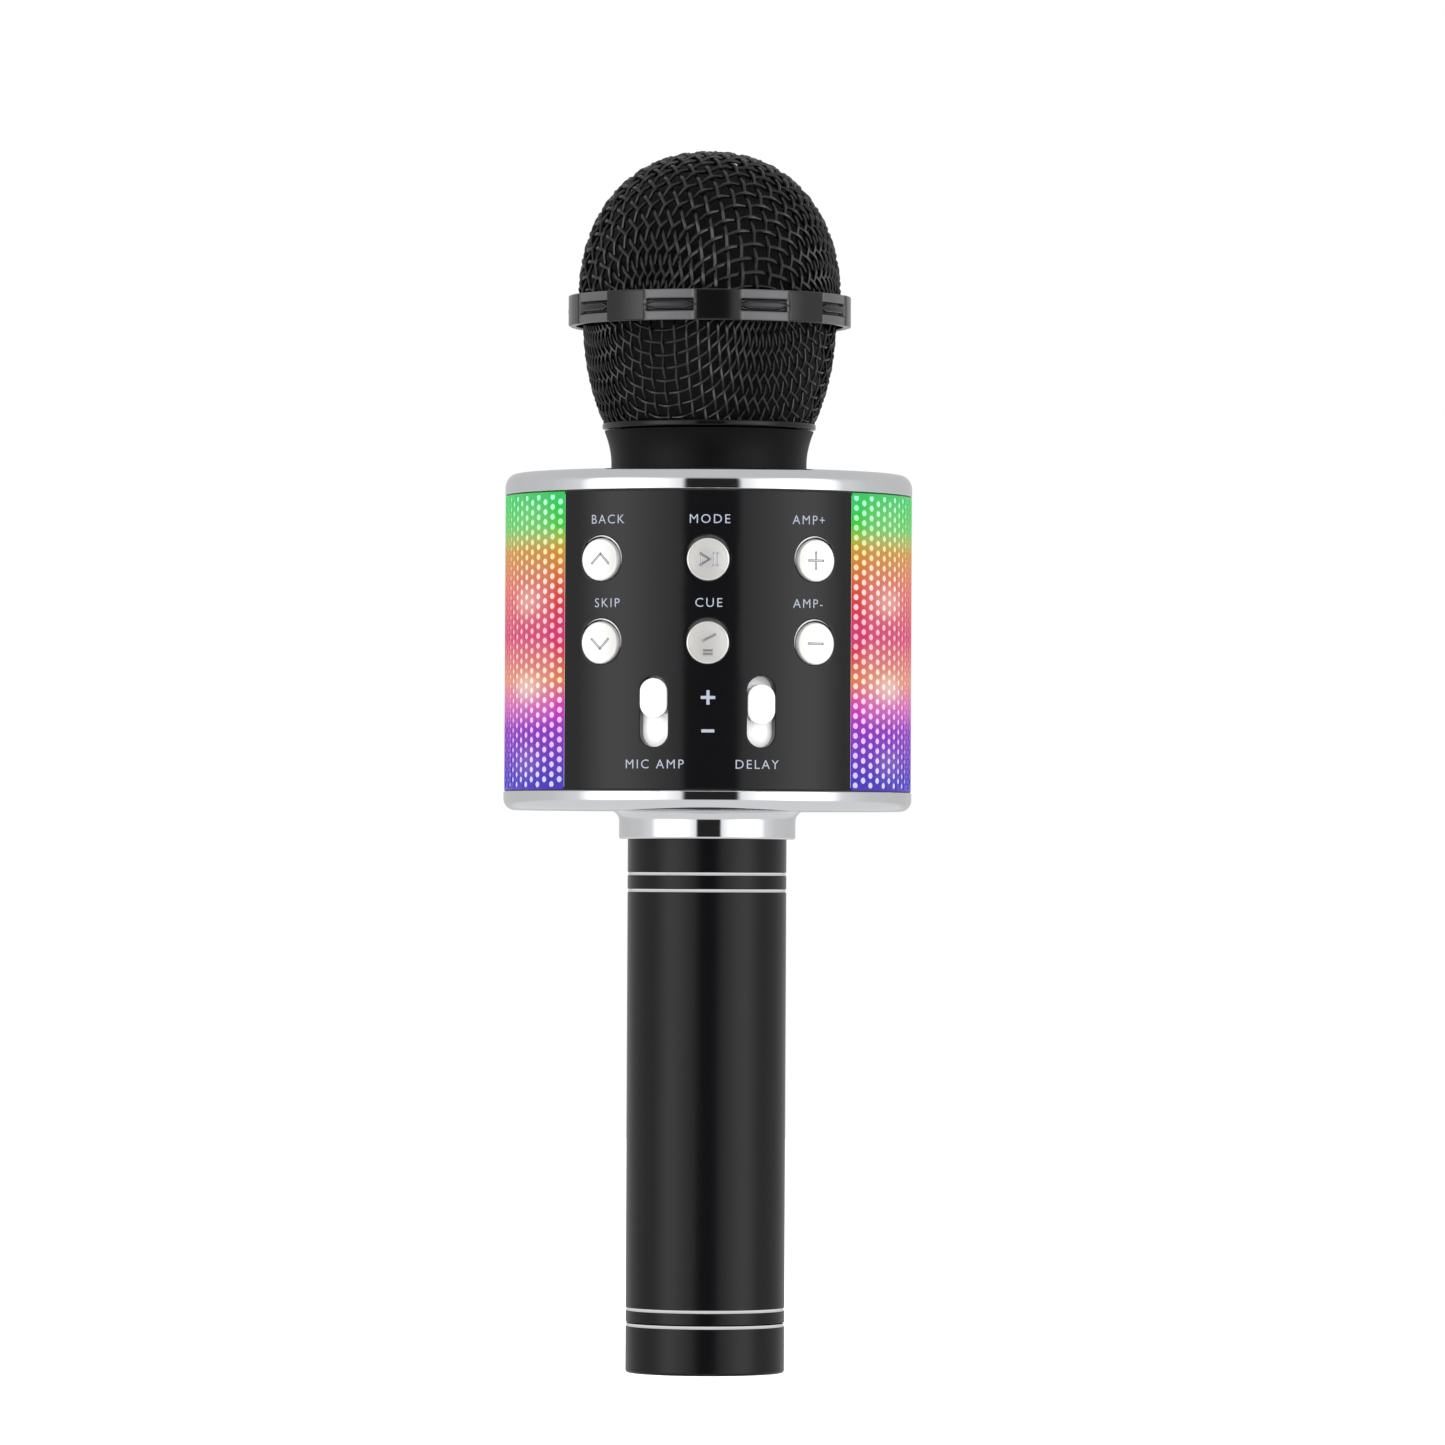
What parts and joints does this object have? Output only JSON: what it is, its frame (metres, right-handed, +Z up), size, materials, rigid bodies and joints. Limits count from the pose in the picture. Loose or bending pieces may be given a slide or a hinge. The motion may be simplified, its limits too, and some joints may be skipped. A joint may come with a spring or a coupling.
{
  "type": "toy microphone",
  "caption": "Cordless toy microphone: wire-mesh head that screws onto a waisted neck, lit perforated speaker barrel with push buttons and slide controls, and a slim round handle.",
  "frame": {"origin": "centre of the flat tail face at the end of the handle", "axes": "+Z up the handle to the dome of the head; the control panel faces -Y; +X is to the right seen from the panel's side"},
  "size_m": [0.0834, 0.0842, 0.25],
  "materials": {
    "black_enamel": "satin black enamel over aluminium",
    "neck_black": "satin moulded ABS",
    "panel_black": "satin-gloss moulded ABS",
    "band_black": "gloss painted ABS",
    "black_wire": "woven steel wire, baked black paint",
    "chrome": "bright plated ABS",
    "grille_wrap": "perforated sheet lit from behind",
    "milky_plastic": "milky polycarbonate film",
    "frame_plastic": "moulded ABS",
    "circuit_board": "solder mask over glass epoxy",
    "flex_circuit": "polyimide flex circuit",
    "steel": "plated steel",
    "magnet": "ferrite",
    "cone_paper": "pressed paper",
    "rubber": "soft rubber",
    "foam": "open-cell foam",
    "cell_wrap": "heat-shrink sleeve"
  },
  "bodies": {
    "handle": {"tail_cap": "black_enamel", "handle_tube": "black_enamel", "battery_cell": "cell_wrap", "battery_carrier": "frame_plastic", "battery_contact": "steel", "battery_spring": "steel", "bottom_ring": "chrome", "top_ring": "chrome", "control_panel": "panel_black", "speaker_grille": "grille_wrap", "light_diffuser": "milky_plastic", "led_strip_left": "circuit_board", "led_strip_right": "circuit_board", "led_strip_rear_left": "circuit_board", "led_strip_rear_right": "circuit_board", "inner_frame": "frame_plastic", "frame_screw_1": "steel", "frame_screw_2": "steel", "frame_screw_3": "steel", "speaker_basket": "steel", "speaker_magnet": "magnet", "speaker_cone": "cone_paper", "speaker_dust_cap": "cone_paper", "main_board": "circuit_board", "key_flex": "flex_circuit", "slide_pot_left": "steel", "slide_pot_right": "steel", "port_plate": "panel_black", "port_board": "circuit_board", "charge_port": "steel", "card_socket": "steel", "audio_jack": "frame_plastic", "neck": "neck_black", "neck_nut": "steel", "capsule_mount": "rubber", "mic_capsule": "steel", "tact_switch_upper_left": "frame_plastic", "tact_switch_upper_middle": "frame_plastic", "tact_switch_upper_right": "frame_plastic", "tact_switch_lower_left": "frame_plastic", "tact_switch_lower_middle": "frame_plastic", "tact_switch_lower_right": "frame_plastic"},
    "button_upper_left": {"button_upper_left": "chrome"},
    "button_upper_middle": {"button_upper_middle": "chrome"},
    "button_upper_right": {"button_upper_right": "chrome"},
    "button_lower_left": {"button_lower_left": "chrome"},
    "button_lower_middle": {"button_lower_middle": "chrome"},
    "button_lower_right": {"button_lower_right": "chrome"},
    "slide_knob_left": {"slide_knob_left": "chrome"},
    "slide_knob_right": {"slide_knob_right": "chrome"},
    "grille_thread": {"grille_washer": "rubber"},
    "grille_head": {"grille_socket": "neck_black", "grille_bowl": "black_wire", "grille_band": "band_black", "grille_dome": "black_wire", "grille_foam": "foam"}
  },
  "joints": [
    {"name": "press_upper_left", "type": "slide", "parent": "handle", "child": "button_upper_left", "axis": [0.5225, 0.8526, 0], "range_m": [0, 0.0006], "stiffness_N_per_m": 600, "springref_m": -0.0008},
    {"name": "press_upper_middle", "type": "slide", "parent": "handle", "child": "button_upper_middle", "axis": [0, 1, 0], "range_m": [0, 0.0006], "stiffness_N_per_m": 600, "springref_m": -0.0008},
    {"name": "press_upper_right", "type": "slide", "parent": "handle", "child": "button_upper_right", "axis": [-0.5225, 0.8526, 0], "range_m": [0, 0.0006], "stiffness_N_per_m": 600, "springref_m": -0.0008},
    {"name": "press_lower_left", "type": "slide", "parent": "handle", "child": "button_lower_left", "axis": [0.5225, 0.8526, 0], "range_m": [0, 0.0006], "stiffness_N_per_m": 600, "springref_m": -0.0008},
    {"name": "press_lower_middle", "type": "slide", "parent": "handle", "child": "button_lower_middle", "axis": [0, 1, 0], "range_m": [0, 0.0006], "stiffness_N_per_m": 600, "springref_m": -0.0008},
    {"name": "press_lower_right", "type": "slide", "parent": "handle", "child": "button_lower_right", "axis": [-0.5225, 0.8526, 0], "range_m": [0, 0.0006], "stiffness_N_per_m": 600, "springref_m": -0.0008},
    {"name": "slide_left", "type": "slide", "parent": "handle", "child": "slide_knob_left", "axis": [0, 0, 1], "range_m": [-0.0058, 0.0004]},
    {"name": "slide_right", "type": "slide", "parent": "handle", "child": "slide_knob_right", "axis": [0, 0, 1], "range_m": [-0.0046, 0.0016]},
    {"name": "grille_turn", "type": "hinge", "parent": "handle", "child": "grille_thread", "pos_m": [0, 0, 0.192], "axis": [0, 0, 1], "range_deg": [0, 1440]},
    {"name": "grille_lift", "type": "slide", "parent": "grille_thread", "child": "grille_head", "axis": [0, 0, 1], "range_m": [0, 0.006]}
  ],
  "couplings": [
    {"joint": "grille_lift", "follows": "grille_turn", "m_per_rad": 0.00023873}
  ]
}
